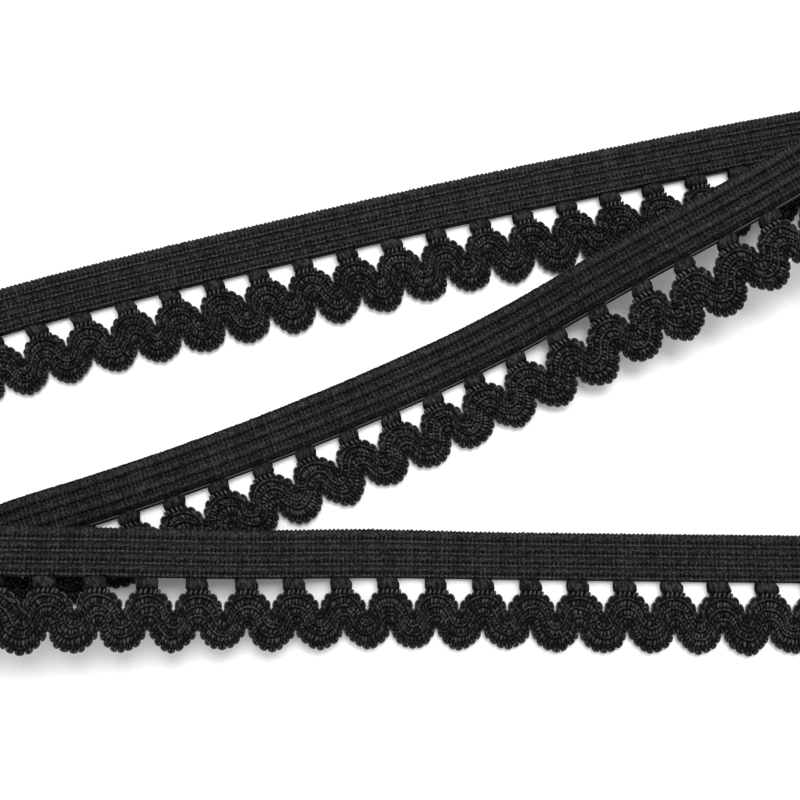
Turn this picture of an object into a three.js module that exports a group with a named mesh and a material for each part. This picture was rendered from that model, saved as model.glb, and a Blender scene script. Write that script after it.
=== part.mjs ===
// A cut length of picot elastic trim, laid back and forth in three runs with two soft
// fold-overs. It is knitted in one piece: a ribbed band, a row of wrapped knots and a
// wavy edging of shells, up under each knot and down between two knots.
// Millimetres, +Z up, +X along the runs, the scallops towards -Y, z = 0 under the trim.
import * as THREE from "three";

// Driving dimensions
const PITCH = 5.98; // one scallop along the trim
const SCALLOPS = 69; // whole scallops in the cut length, with a knot at both ends
const REST = 0.75; // height of the trim's middle layer where it lies on the surface
const ROUTE_BELOW = 7.2; // the route follows the middle of the gaps, this far below the top edge
const BOX_MIDDLE = { x: 3.64, y: 4.64 }; // middle of the laid trim in the route's own frame

// The band, from its top edge down: crests and grooves of its four ribs, alike on both faces
const BAND_ROWS = [
  { below: 0.08, half: 0.35 },
  { below: 0.95, half: 0.6 },
  { below: 1.85, half: 0.42 },
  { below: 2.55, half: 0.6 },
  { below: 3.2, half: 0.42 },
  { below: 3.9, half: 0.6 },
  { below: 4.6, half: 0.42 },
  { below: 5.25, half: 0.6 },
];
const BAND_EDGE = { below: 6.05, half: 0.42 };

// A knot, from the band's lower edge to the shell under it
const KNOT = { half_width: 1.33, belly: 1.43, below: 6.7, half: REST, foot: 7.4 };

// The edging: a shell's rim rises to the knot, and the next shell's hangs between two knots
const SHELL_SHIFT = 0.25; // the shells sit this far along from their knots
const UP_RIM = { centre: 10.2, drop: 2.85 };
const DOWN_RIM = { centre: 12.25, drop: 2.8, roundness: 1.2 };
const V_BOTTOM = 9.95; // where two up-shells meet, below the top edge
const FLANK = [
  { out: 2.05, below: 8.0 },
  { out: 2.75, below: 8.95 },
]; // a shell's free flank from its knot down, measured from the shell's middle
const RIM_HALF = 0.42; // half the edging's thickness at its rims
const EDGING_ROWS = [
  { share: 0.25, half: REST, steps: 6, crowding: 0.9 },
  { share: 0.75, half: REST, steps: 6, crowding: 0.9 },
  { share: 1.0, half: RIM_HALF, steps: 8, crowding: 0 },
]; // lines of its wave, as shares of its width below the upper rim, and their points a scallop
const TURN_STEPS = 3; // steps of the band in one scallop where the trim folds over

// The route of the gap line: one row for each place, in scallops from the first cut end.
// "across" is the heading from the top edge to the picots, in degrees from +X.
const ROUTE = [
  { scallop: 0.0, x: -64.6, y: 3.3, z: REST, across: -74 },
  { scallop: 2.5, x: -50.3, y: 7.8, z: REST, across: -74 },
  { scallop: 7.5, x: -21.6, y: 15.4, z: REST, across: -77 },
  { scallop: 12.5, x: 7.8, y: 22.45, z: REST, across: -78 },
  { scallop: 17.5, x: 37.0, y: 28.75, z: REST, across: -78 },
  { scallop: 20.0, x: 51.7, y: 31.75, z: REST, across: -76 },
  { scallop: 21.5, x: 60.5, y: 33.4, z: REST, across: -74 },
  { scallop: 22.25, x: 64.9, y: 34.2, z: 0.83, across: -72 },
  { scallop: 23.0, x: 69.1, y: 35.0, z: 1.9, across: -71 },
  { scallop: 23.75, x: 71.2, y: 35.1, z: 5.6, across: -70 },
  { scallop: 24.5, x: 70.1, y: 34.0, z: 9.7, across: -69 },
  { scallop: 25.25, x: 66.6, y: 32.0, z: 11.3, across: -68 },
  { scallop: 26.5, x: 60.1, y: 28.5, z: 10.5, across: -66 },
  { scallop: 28.0, x: 52.3, y: 24.2, z: 9.2, across: -63 },
  { scallop: 29.5, x: 44.5, y: 19.9, z: 8.0, across: -61 },
  { scallop: 32.5, x: 28.5, y: 11.62, z: 4.6, across: -62 },
  { scallop: 34.5, x: 18.0, y: 6.02, z: 1.7, across: -63 },
  { scallop: 36.5, x: 7.2, y: 0.62, z: REST, across: -65 },
  { scallop: 40.5, x: -14.6, y: -8.78, z: REST, across: -68 },
  { scallop: 43.5, x: -31.3, y: -14.98, z: REST, across: -71 },
  { scallop: 45.0, x: -39.8, y: -17.78, z: REST, across: -73 },
  { scallop: 46.75, x: -49.7, y: -21.08, z: REST, across: -76 },
  { scallop: 47.25, x: -52.6, y: -22.2, z: 0.89, across: -78 },
  { scallop: 47.75, x: -55.2, y: -23.1, z: 1.8, across: -80 },
  { scallop: 48.25, x: -56.5, y: -23.8, z: 4.2, across: -81 },
  { scallop: 48.75, x: -55.6, y: -24.1, z: 6.9, across: -82 },
  { scallop: 49.25, x: -53.0, y: -24.2, z: 8.2, across: -84 },
  { scallop: 50.5, x: -45.6, y: -24.3, z: 7.7, across: -87 },
  { scallop: 52.0, x: -36.7, y: -24.3, z: 6.5, across: -90 },
  { scallop: 53.5, x: -27.8, y: -24.4, z: 5.1, across: -90 },
  { scallop: 55.5, x: -16.1, y: -24.4, z: 3.0, across: -90 },
  { scallop: 57.5, x: -4.5, y: -24.2, z: 1.1, across: -90 },
  { scallop: 59.5, x: 7.4, y: -24.3, z: REST, across: -90 },
  { scallop: 63.5, x: 31.1, y: -24.6, z: REST, across: -90 },
  { scallop: 66.5, x: 48.9, y: -24.8, z: REST, across: -90 },
  { scallop: 69.0, x: 63.8, y: -25.0, z: REST, across: -90 },
];
const TURNS = [
  { from: 22, to: 27 },
  { from: 46, to: 51 },
]; // the scallops that fold over

// A natural cubic spline through one column of the route, as a function of the scallop
function splineThrough(column) {
  const at = ROUTE.map((row) => row.scallop);
  const value = ROUTE.map((row) => row[column]);
  const last = at.length - 1;
  const gap = (i) => at[i + 1] - at[i];
  const slope = (i) => (value[i + 1] - value[i]) / gap(i);
  const bend = new Array(last + 1).fill(0);
  const upper = new Array(last + 1).fill(0);
  for (let i = 1; i < last; i++) {
    const pivot = 2 * (gap(i - 1) + gap(i)) - gap(i - 1) * upper[i - 1];
    upper[i] = gap(i) / pivot;
    bend[i] = (6 * (slope(i) - slope(i - 1)) - gap(i - 1) * bend[i - 1]) / pivot;
  }
  for (let i = last - 1; i > 0; i--) bend[i] -= upper[i] * bend[i + 1];
  return (scallop) => {
    let i = 0;
    while (i < last - 1 && scallop > at[i + 1]) i++;
    const h = gap(i);
    const left = (at[i + 1] - scallop) / h;
    const right = 1 - left;
    const curl = (left ** 3 - left) * bend[i] + (right ** 3 - right) * bend[i + 1];
    return left * value[i] + right * value[i + 1] + (curl * h * h) / 6;
  };
}

const routeX = splineThrough("x");
const routeY = splineThrough("y");
const routeZ = splineThrough("z");
const routeAcross = splineThrough("across");

// A point of the route; the trim never dips under the surface that it lies on
function routePoint(scallop) {
  const x = routeX(scallop) - BOX_MIDDLE.x;
  const y = routeY(scallop) - BOX_MIDDLE.y;
  return new THREE.Vector3(x, y, Math.max(REST, routeZ(scallop)));
}

// The trim's own axes at a place: along it, across it towards the picots, and out of its front
function routeFrame(scallop) {
  const step = 0.01;
  const along = routePoint(scallop + step).sub(routePoint(scallop - step)).normalize();
  const heading = THREE.MathUtils.degToRad(routeAcross(scallop));
  const across = new THREE.Vector3(Math.cos(heading), Math.sin(heading), 0);
  across.addScaledVector(along, -across.dot(along)).normalize();
  return { across, front: new THREE.Vector3().crossVectors(across, along) };
}

// A point of the flat trim, put where the trim lies
function laid(scallop, below, height) {
  const { across, front } = routeFrame(scallop);
  const point = routePoint(scallop).addScaledVector(across, below - ROUTE_BELOW);
  return point.addScaledVector(front, height);
}

// Vertices come in pairs, one on each face; a row is a list of { scallop, pair }
const positions = [];
const indices = [];

function addPair(scallop, below, half) {
  const pair = positions.length / 6;
  positions.push(...laid(scallop, below, half).toArray());
  positions.push(...laid(scallop, below, -half).toArray());
  return { scallop, pair };
}

// A facet on the front, with its twin on the back turned to face out
function addFacets(a, b, c) {
  indices.push(2 * a.pair, 2 * b.pair, 2 * c.pair);
  indices.push(2 * a.pair + 1, 2 * c.pair + 1, 2 * b.pair + 1);
}

// A strip of wall along an edge that has the cloth on its left, seen from the front
function addWall(edge) {
  for (let i = 0; i + 1 < edge.length; i++) {
    const [a, b] = [2 * edge[i].pair, 2 * edge[i + 1].pair];
    indices.push(a, a + 1, b, b, a + 1, b + 1);
  }
}

// The facets between a row and the row below it, whatever their numbers of points
function addStrip(row, lower) {
  let [i, j] = [0, 0];
  while (i + 1 < row.length || j + 1 < lower.length) {
    const ends = i + 1 >= row.length;
    const nearer = !ends && (j + 1 >= lower.length || row[i + 1].scallop <= lower[j + 1].scallop);
    if (nearer) {
      addFacets(row[i], lower[j], row[i + 1]);
      i++;
    } else {
      addFacets(row[i], lower[j], lower[j + 1]);
      j++;
    }
  }
}

const inTurn = (scallop) => TURNS.some((turn) => scallop >= turn.from && scallop < turn.to);

// A band row: one point a scallop, and more where the trim folds over
function bandRow({ below, half }) {
  const row = [];
  for (let k = 0; k < SCALLOPS; k++) {
    const steps = inTurn(k) ? TURN_STEPS : 1;
    for (let n = 0; n < steps; n++) row.push(addPair(k + n / steps, below, half));
  }
  row.push(addPair(SCALLOPS, below, half));
  return row;
}

// The two ends of a knot's row; at the trim's cut ends half a knot is left
function knotRow(k, halfWidth, below, half) {
  const from = Math.max(0, k - halfWidth / PITCH);
  const to = Math.min(SCALLOPS, k + halfWidth / PITCH);
  return [addPair(from, below, half), addPair(to, below, half)];
}

// The rim of the up-shells across one gap, from one knot's foot to the next one's
function gapRim(k) {
  const middle = SHELL_SHIFT / PITCH;
  const right = FLANK.map((f) => addPair(k + middle + f.out / PITCH, f.below, RIM_HALF));
  const bottom = addPair(k + middle + 0.5, V_BOTTOM, RIM_HALF);
  const left = FLANK.map((f) => addPair(k + 1 + middle - f.out / PITCH, f.below, RIM_HALF));
  return [...right, bottom, ...left.reverse()];
}

// How far round a shell's fan the stitches have turned, from -1 to 1, at a phase of -0.5 to 0.5
function fanTurn(phase, crowding) {
  return 2 * (phase + (crowding * Math.sin(2 * Math.PI * phase)) / (2 * Math.PI));
}

const signedPower = (value, power) => Math.sign(value) * Math.abs(value) ** power;

// A point of the edging: phase 0 is an up-shell's middle, share 0 its upper rim and 1 its lower
function edgingPoint(phase, share, crowding) {
  const upShell = Math.round(phase);
  const downShell = Math.round(phase - 0.5) + 0.5;
  const up = (fanTurn(phase - upShell, crowding) * Math.PI) / 2;
  const down = (fanTurn(phase - downShell, crowding) * Math.PI) / 2;
  const upBelow = UP_RIM.centre - UP_RIM.drop * Math.cos(up);
  const sweep = signedPower(Math.sin(down), DOWN_RIM.roundness);
  const fall = signedPower(Math.cos(down), DOWN_RIM.roundness);
  const downBelow = DOWN_RIM.centre + DOWN_RIM.drop * fall;
  const along = THREE.MathUtils.lerp(upShell + 0.5 * Math.sin(up), downShell + 0.5 * sweep, share);
  return {
    along: along + SHELL_SHIFT / PITCH,
    below: THREE.MathUtils.lerp(upBelow, downBelow, share),
  };
}

// A row of the edging over the whole length, ended square at both cuts
function edgingRow({ share, half, steps, crowding }) {
  const end = edgingPoint(-SHELL_SHIFT / PITCH, share, crowding).below;
  const row = [addPair(0, end, half)];
  for (let n = -steps; n <= (SCALLOPS + 1) * steps; n++) {
    const { along, below } = edgingPoint(n / steps, share, crowding);
    if (along > 0 && along < SCALLOPS) row.push(addPair(along, below, half));
  }
  row.push(addPair(SCALLOPS, end, half));
  return row;
}

// The whole trim as one closed body
function trimGeometry() {
  const lowerEdge = [];
  const bellies = [];
  const upperRim = [];
  for (let k = 0; k <= SCALLOPS; k++) {
    lowerEdge.push(knotRow(k, KNOT.half_width, BAND_EDGE.below, BAND_EDGE.half));
    bellies.push(knotRow(k, KNOT.belly, KNOT.below, KNOT.half));
    upperRim.push(knotRow(k, KNOT.half_width, KNOT.foot, RIM_HALF));
    if (k < SCALLOPS) upperRim.push(gapRim(k));
  }
  const band = [...BAND_ROWS.map(bandRow), lowerEdge.flat()];
  const edging = [upperRim.flat(), ...EDGING_ROWS.map(edgingRow)];
  for (const rows of [band, edging]) {
    for (let i = 0; i + 1 < rows.length; i++) addStrip(rows[i], rows[i + 1]);
  }
  for (let k = 0; k <= SCALLOPS; k++) {
    addStrip(lowerEdge[k], bellies[k]);
    addStrip(bellies[k], upperRim[2 * k]);
  }

  addWall([...band[0]].reverse());
  addWall(edging[edging.length - 1]);
  for (let k = 0; k < SCALLOPS; k++) {
    const near = [upperRim[2 * k][1], bellies[k][1], lowerEdge[k][1]];
    const far = [lowerEdge[k + 1][0], bellies[k + 1][0], upperRim[2 * k + 2][0]];
    const shells = [...upperRim[2 * k + 1]].reverse();
    addWall([...near, ...far, ...shells, near[0]]);
  }
  const rows = [...band, bellies.flat(), ...edging];
  addWall(rows.map((row) => row[0]));
  addWall(rows.map((row) => row[row.length - 1]).reverse());

  const geometry = new THREE.BufferGeometry();
  geometry.setAttribute("position", new THREE.Float32BufferAttribute(positions, 3));
  geometry.setIndex(indices);
  geometry.computeVertexNormals();
  return geometry;
}

const blackYarn = new THREE.MeshStandardMaterial({ color: 0x1c1c1e, roughness: 0.85, metalness: 0 });
const trim = new THREE.Mesh(trimGeometry(), blackYarn);
trim.name = "picot_elastic";

const laidTrim = new THREE.Group();
laidTrim.add(trim);

export default laidTrim;
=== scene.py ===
"""A cut length of black picot elastic trim, knitted from yarn and laid in three runs.

The knitting is worked out on the flat trim, in millimetres: how far along it, how far below
the band's top edge, and how high above its middle layer. Then every point is laid along the
route that the trim takes on the surface.
"""

import math

import bpy
import numpy as np
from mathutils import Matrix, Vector


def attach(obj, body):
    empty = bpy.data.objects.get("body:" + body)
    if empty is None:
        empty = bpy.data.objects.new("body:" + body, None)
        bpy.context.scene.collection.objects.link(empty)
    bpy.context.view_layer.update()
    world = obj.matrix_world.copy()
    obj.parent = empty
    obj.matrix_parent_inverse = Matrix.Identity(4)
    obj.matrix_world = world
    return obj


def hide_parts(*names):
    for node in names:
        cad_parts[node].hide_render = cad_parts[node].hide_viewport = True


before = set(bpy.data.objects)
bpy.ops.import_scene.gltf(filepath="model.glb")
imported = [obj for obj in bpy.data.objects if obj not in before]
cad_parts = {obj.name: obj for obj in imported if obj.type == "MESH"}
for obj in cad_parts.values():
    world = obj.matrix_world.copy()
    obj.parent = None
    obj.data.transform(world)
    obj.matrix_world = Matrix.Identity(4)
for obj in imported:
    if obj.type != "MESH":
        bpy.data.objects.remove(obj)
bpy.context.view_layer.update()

NODE = "picot_elastic"

# Driving dimensions of the flat trim, in millimetres
METRES = 0.001
PITCH = 5.98  # one scallop along the trim
SCALLOPS = 69
REST = 0.75  # height of the middle layer where the trim lies on the surface
LOWEST = 0.01  # no yarn lies lower than this above the surface
ROUTE_BELOW = 7.2  # the route follows the middle of the gaps
BOX_MIDDLE = (3.64, 4.64)  # middle of the laid trim in the route's own frame
SEED = 20

# The route: scallop, x, y, z, and the heading across the trim in degrees from +X
ROUTE = np.array([
    (0.0, -64.6, 3.3, REST, -74),
    (2.5, -50.3, 7.8, REST, -74),
    (7.5, -21.6, 15.4, REST, -77),
    (12.5, 7.8, 22.45, REST, -78),
    (17.5, 37.0, 28.75, REST, -78),
    (20.0, 51.7, 31.75, REST, -76),
    (21.5, 60.5, 33.4, REST, -74),
    (22.25, 64.9, 34.2, 0.83, -72),
    (23.0, 69.1, 35.0, 1.9, -71),
    (23.75, 71.2, 35.1, 5.6, -70),
    (24.5, 70.1, 34.0, 9.7, -69),
    (25.25, 66.6, 32.0, 11.3, -68),
    (26.5, 60.1, 28.5, 10.5, -66),
    (28.0, 52.3, 24.2, 9.2, -63),
    (29.5, 44.5, 19.9, 8.0, -61),
    (32.5, 28.5, 11.62, 4.6, -62),
    (34.5, 18.0, 6.02, 1.7, -63),
    (36.5, 7.2, 0.62, REST, -65),
    (40.5, -14.6, -8.78, REST, -68),
    (43.5, -31.3, -14.98, REST, -71),
    (45.0, -39.8, -17.78, REST, -73),
    (46.75, -49.7, -21.08, REST, -76),
    (47.25, -52.6, -22.2, 0.89, -78),
    (47.75, -55.2, -23.1, 1.8, -80),
    (48.25, -56.5, -23.8, 4.2, -81),
    (48.75, -55.6, -24.1, 6.9, -82),
    (49.25, -53.0, -24.2, 8.2, -84),
    (50.5, -45.6, -24.3, 7.7, -87),
    (52.0, -36.7, -24.3, 6.5, -90),
    (53.5, -27.8, -24.4, 5.1, -90),
    (55.5, -16.1, -24.4, 3.0, -90),
    (57.5, -4.5, -24.2, 1.1, -90),
    (59.5, 7.4, -24.3, REST, -90),
    (63.5, 31.1, -24.6, REST, -90),
    (66.5, 48.9, -24.8, REST, -90),
    (69.0, 63.8, -25.0, REST, -90),
])
RUNS = ((0, 24), (24, 48), (48, 69))  # the scallops of each run, split in the fold-overs
FRONT_SHOWS = ((0, 24.5), (45.5, 69))  # where the front faces up or out
BACK_SHOWS = ((21.5, 48.5),)

# The camera, in the route's own frame: the photo looks down steeply from the front
CAMERA = {"distance": 150, "elevation": 78.5, "lens": 51.8, "sensor": 36, "nearest": 0.001}


def spline_through(column):
    """A natural cubic spline through one column of the route, as a function of the scallop."""
    at, value = ROUTE[:, 0], ROUTE[:, column]
    gap = np.diff(at)
    slope = np.diff(value) / gap
    system = np.eye(len(at))
    turn = np.zeros(len(at))
    for i in range(1, len(at) - 1):
        system[i, i - 1:i + 2] = gap[i - 1], 2 * (gap[i - 1] + gap[i]), gap[i]
        turn[i] = 6 * (slope[i] - slope[i - 1])
    bend = np.linalg.solve(system, turn)

    def at_scallop(scallop):
        i = np.clip(np.searchsorted(at, scallop, side="right") - 1, 0, len(gap) - 1)
        left = (at[i + 1] - scallop) / gap[i]
        right = 1 - left
        curl = (left**3 - left) * bend[i] + (right**3 - right) * bend[i + 1]
        return left * value[i] + right * value[i + 1] + curl * gap[i] ** 2 / 6

    return at_scallop


ROUTE_X, ROUTE_Y, ROUTE_Z, ROUTE_ACROSS = (spline_through(column) for column in range(1, 5))


def unit(vectors):
    return vectors / np.linalg.norm(vectors, axis=-1, keepdims=True)


def smooth(value):
    value = np.clip(value, 0, 1)
    return value * value * (3 - 2 * value)


def route_point(scallop):
    x = ROUTE_X(scallop) - BOX_MIDDLE[0]
    y = ROUTE_Y(scallop) - BOX_MIDDLE[1]
    z = np.maximum(REST, ROUTE_Z(scallop))
    return np.stack([x, y, z], axis=-1)


# Scallop, and how much wider the band lies there, because it is stretched less
BAND_EASE = np.array([
    (0, 0.2),
    (9, 0.32),
    (19, 0.5),
    (26, 0.35),
    (38, 0.36),
    (41, 0.2),
    (47, 0.2),
    (50, 0),
    (55, 0.05),
    (57.5, 0.2),
    (60, 0),
])
EASED_TO = 5.0  # below the band's top edge


def lay(points):
    """Puts points of the flat trim (along, below, height) where it lies, in metres."""
    scallop = points[..., 0] / PITCH
    ease = np.interp(scallop, *BAND_EASE.T) * np.maximum(0, 1 - points[..., 1] / EASED_TO)
    step = 0.01
    along = unit(route_point(scallop + step) - route_point(scallop - step))
    heading = np.radians(ROUTE_ACROSS(scallop))
    across = np.stack([np.cos(heading), np.sin(heading), np.zeros_like(heading)], axis=-1)
    across = unit(across - along * np.sum(across * along, axis=-1, keepdims=True))
    front = np.cross(across, along)
    laid = route_point(scallop)
    laid += across * (points[..., 1] - ease - ROUTE_BELOW)[..., None] + front * points[..., 2:3]
    laid[..., 2] = np.maximum(laid[..., 2], LOWEST)  # pressed flat by the surface
    return laid * METRES


def shows(ranges, scallop):
    return any(low <= scallop < high for low, high in ranges)


# Unevenness of the knitting: each shell hangs and leans a little differently
RANDOM = np.random.default_rng(SEED)
SHELL_SHIFT = 0.2  # the shells sit this far along from their knots
# Scallop, how far its shell leans along and how much lower it hangs
HANG = np.array([
    (0, 0.2, -0.25),
    (4, 0.15, -0.2),
    (5.5, 0.25, 0.3),
    (9, 0.3, 0.6),
    (12, 0.2, 0.5),
    (21, 0.3, 0.6),
    (26, 0.2, 0.1),
    (30, 0.4, 0.1),
    (31.5, 0.45, 0.5),
    (33, 0.1, 0.3),
    (35, 0.1, -0.2),
    (37, -0.2, -0.3),
    (38.5, -0.25, 0.0),
    (41, -0.25, -0.2),
    (46, -0.25, 0.1),
    (50, 0.4, 0.3),
    (52, 0.45, 0.0),
    (53.5, 0.12, -0.15),
    (55, 0.05, -0.4),
    (58, 0.15, -0.2),
    (60.5, -0.15, -0.5),
    (63, 0.0, -0.05),
    (69, 0.05, -0.1),
])
# How far below the leaning and the hanging start, and how much further they are full
LEAN = {"from": 7.4, "over": 2.6}
DROOP = {"from": 9.5, "over": 5.5}
SHELL_SPREAD = 0.07
SHELL_CENTRES = np.arange(-1, SCALLOPS + 1) + 0.5 + SHELL_SHIFT / PITCH
SHELL_DROP = RANDOM.normal(0, SHELL_SPREAD, len(SHELL_CENTRES))
SHELL_SLIDE = RANDOM.normal(0, SHELL_SPREAD, len(SHELL_CENTRES))

WANDER = {"waves": 6, "reach": 0.045, "shortest": 2.2, "longest": 7.0}
WANDER_TURNS = RANDOM.uniform(0, 2 * math.pi, (2, WANDER["waves"]))
WANDER_HEADING = RANDOM.uniform(0, math.pi, (2, WANDER["waves"]))
WANDER_LENGTH = RANDOM.uniform(WANDER["shortest"], WANDER["longest"], (2, WANDER["waves"]))


def wander(points, way):
    """A smooth random shift of each place of the edging, one way."""
    total = 0
    for turn, heading, length in zip(WANDER_TURNS[way], WANDER_HEADING[way], WANDER_LENGTH[way]):
        far = points[..., 0] * math.cos(heading) + points[..., 1] * math.sin(heading)
        total = total + np.sin(2 * math.pi * far / length + turn)
    return total * WANDER["reach"]


def uneven(points):
    """Leans and lengthens the shells of the flat trim, more the lower they hang."""
    scallop = points[..., 0] / PITCH
    hang = smooth((points[..., 1] - LEAN["from"]) / LEAN["over"])
    tip = smooth((points[..., 1] - DROOP["from"]) / DROOP["over"])
    lean = np.interp(scallop, HANG[:, 0], HANG[:, 1])
    slide = np.interp(scallop, SHELL_CENTRES, SHELL_SLIDE)
    drop = np.interp(scallop, SHELL_CENTRES, SHELL_DROP) + np.interp(scallop, HANG[:, 0], HANG[:, 2])
    moved = points.copy()
    moved[..., 0] += (lean + slide + wander(points, 0)) * hang
    moved[..., 1] += drop * tip + wander(points, 1) * hang
    return moved


CAP_RADIUS = 0.4  # of a tube's end, in its cell of the texture map
PATTERN_SHIFT = 5  # the patterns of two yarns start up to this far apart


def bundle(rings, closed, cell, tone, lift=0.0, along=None, crosswise=False):
    """A number of like tubes, as rings of points on the flat trim. "cell" is how many of their
    segments take one cell of the texture map, "tone" is how light each point is, and "lift" is
    added to its height where that sets its painted shade."""
    segments = rings.shape[1] if closed else rings.shape[1] - 1
    return {
        "rings": rings,
        "closed": closed,
        "segments": segments,
        "cell": cell or segments,
        "tone": tone,
        "lift": lift,
        "along": along,
        "crosswise": crosswise,
    }


def yarns(path, side, wide, thick, closed=False, sides=4, cell=None, lift=0.0, tone=(0, 1)):
    """Tubes round paths. "side" points across a tube in the cloth's plane, "wide" and "thick"
    are its half sizes, and "tone" is the range of the tubes' tones."""
    if closed:
        tangent = unit(np.roll(path, -1, axis=1) - np.roll(path, 1, axis=1))
    else:
        tangent = unit(np.gradient(path, axis=1))
    side = np.broadcast_to(side, path.shape)
    side = unit(side - tangent * np.sum(side * tangent, axis=-1, keepdims=True))
    up = np.cross(tangent, side)
    angle = 2 * np.pi * np.arange(sides) / sides
    wide = np.broadcast_to(wide, path.shape[:2])[:, :, None, None]
    thick = np.broadcast_to(thick, path.shape[:2])[:, :, None, None]
    rings = path[:, :, None] + side[:, :, None] * wide * np.cos(angle)[:, None]
    rings += up[:, :, None] * thick * np.sin(angle)[:, None]
    tones = np.repeat(RANDOM.uniform(*tone, len(path)), path.shape[1] * sides)
    return bundle(rings, closed, cell, tones, lift)


def tube_faces(yarn):
    """Quads round every tube, and the two caps of an open one, as corner numbers."""
    count, length, sides = yarn["rings"].shape[:3]
    number = np.arange(count * length * sides).reshape(count, length, sides)
    here = number[:, :yarn["segments"]]
    ahead = np.roll(number, -1, axis=1)[:, :yarn["segments"]]
    quads = np.stack([here, ahead, np.roll(ahead, -1, axis=2), np.roll(here, -1, axis=2)], axis=-1)
    caps = np.empty((0, sides), int)
    if not yarn["closed"]:
        caps = np.concatenate([number[:, 0], number[:, -1, ::-1]])
    return quads.reshape(-1, 4), caps


def round_both_faces(rows):
    """The columns of a table whose last is height, with its rows down the front, up the back."""
    front = np.array(rows)
    back = front[::-1].copy()
    back[:, -1] *= -1
    return np.concatenate([front, back]).T


def texture_cells(yarn):
    """How many cells of the texture map a bundle takes, and the length and girth of one."""
    rings = yarn["rings"]
    length = np.linalg.norm(np.diff(rings.mean(axis=2), axis=1), axis=-1).mean() * yarn["cell"]
    girth = np.linalg.norm(rings - np.roll(rings, 1, axis=2), axis=-1).sum(axis=2).mean()
    per_yarn = -(-yarn["segments"] // yarn["cell"])
    return len(rings) * per_yarn, length, girth


def texture_map(bundles):
    """Corner places on the unit square: each yarn is unrolled into its own cells, in rows."""
    sizes = [texture_cells(yarn) for yarn in bundles]
    width = math.sqrt(sum(cells * length * girth for cells, length, girth in sizes))
    places, top = [], 0.0
    for yarn, (cells, length, girth) in zip(bundles, sizes):
        in_row = max(1, int(width // length))
        count, _, sides = yarn["rings"].shape[:3]
        cell = yarn["cell"]
        per_yarn = cells // count
        number, segment, side = np.meshgrid(
            np.arange(count), np.arange(yarn["segments"]), np.arange(sides), indexing="ij"
        )
        place = number * per_yarn + segment // cell
        along = (segment % cell)[..., None] + np.array([0, 1, 1, 0])
        around = side[..., None] + np.array([0, 0, 1, 1])
        u = ((place % in_row)[..., None] + along / cell) / in_row
        v = top + ((place // in_row)[..., None] + around / sides) * girth
        places.append(np.stack([u, v], axis=-1).reshape(-1, 2))
        top += -(-cells // in_row) * girth
        if not yarn["closed"]:
            angle = 2 * np.pi * np.arange(sides) / sides
            corner = np.stack([np.cos(angle), np.sin(angle)], axis=-1) * CAP_RADIUS + 0.5
            cap = np.arange(2 * count)[:, None, None] * np.array([1, 0]) + corner
            places.append((cap / [2 * count, 1] * [1, girth] + [0, top]).reshape(-1, 2))
            top += girth
    return [place / [1, top] for place in places]


def strand_map(yarn):
    """Corner places for the yarn's own pattern: millimetres along it, and turns round it. In a
    cloth whose yarns run crosswise they are millimetres round it, and courses along it."""
    rings = yarn["rings"]
    count, length, sides = rings.shape[:3]
    if yarn["crosswise"]:
        far = np.broadcast_to(yarn["along"], (count, length))
        round_it = np.linalg.norm(np.roll(rings, -1, axis=2) - rings, axis=-1).mean(axis=(0, 1))
        turns = np.concatenate([[0], np.cumsum(round_it)])
    else:
        path = rings.mean(axis=2)
        if yarn["closed"]:
            path = np.concatenate([path, path[:, :1]], axis=1)
        steps = np.linalg.norm(np.diff(path, axis=1), axis=-1)
        far = np.concatenate([np.zeros((count, 1)), np.cumsum(steps, axis=1)], axis=1)
        far += RANDOM.uniform(0, PATTERN_SHIFT, (count, 1))
        turns = np.arange(sides + 1) / sides
    ends = np.stack([far[:, :-1], far[:, 1:], far[:, 1:], far[:, :-1]], axis=-1)
    edges = np.stack([turns[:-1], turns[:-1], turns[1:], turns[1:]], axis=-1)
    u = np.repeat(ends[:, :, None], sides, axis=2)
    v = np.broadcast_to(edges, u.shape)
    if yarn["crosswise"]:
        u, v = v, u
    places = [np.stack([u, v], axis=-1).reshape(-1, 2)]
    if not yarn["closed"]:
        places.append(np.zeros((2 * count * sides, 2)))
    return places


def mesh_piece(name, points, corners, totals, smooth_faces, material):
    """A mesh object of these points, in metres, and of faces as lists of corners."""
    mesh = bpy.data.meshes.new(name)
    mesh.vertices.add(len(points))
    mesh.vertices.foreach_set("co", points.astype(np.float32).ravel())
    mesh.loops.add(len(corners))
    mesh.loops.foreach_set("vertex_index", corners.astype(np.int32))
    mesh.polygons.add(len(totals))
    starts = np.concatenate([[0], np.cumsum(totals)[:-1]])
    mesh.polygons.foreach_set("loop_start", starts.astype(np.int32))
    mesh.polygons.foreach_set("use_smooth", smooth_faces)
    mesh.update(calc_edges=True)
    mesh.validate()
    mesh.materials.append(material)
    piece = bpy.data.objects.new(name, mesh)
    bpy.context.scene.collection.objects.link(piece)
    return piece


def add_map(piece, name, places):
    layer = piece.data.uv_layers.new(name=name)
    layer.uv.foreach_set("vector", np.concatenate(places).astype(np.float32).ravel())


def add_attribute(piece, name, values):
    layer = piece.data.attributes.new(name, "FLOAT", "POINT")
    layer.data.foreach_set("value", values.astype(np.float32))


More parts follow.
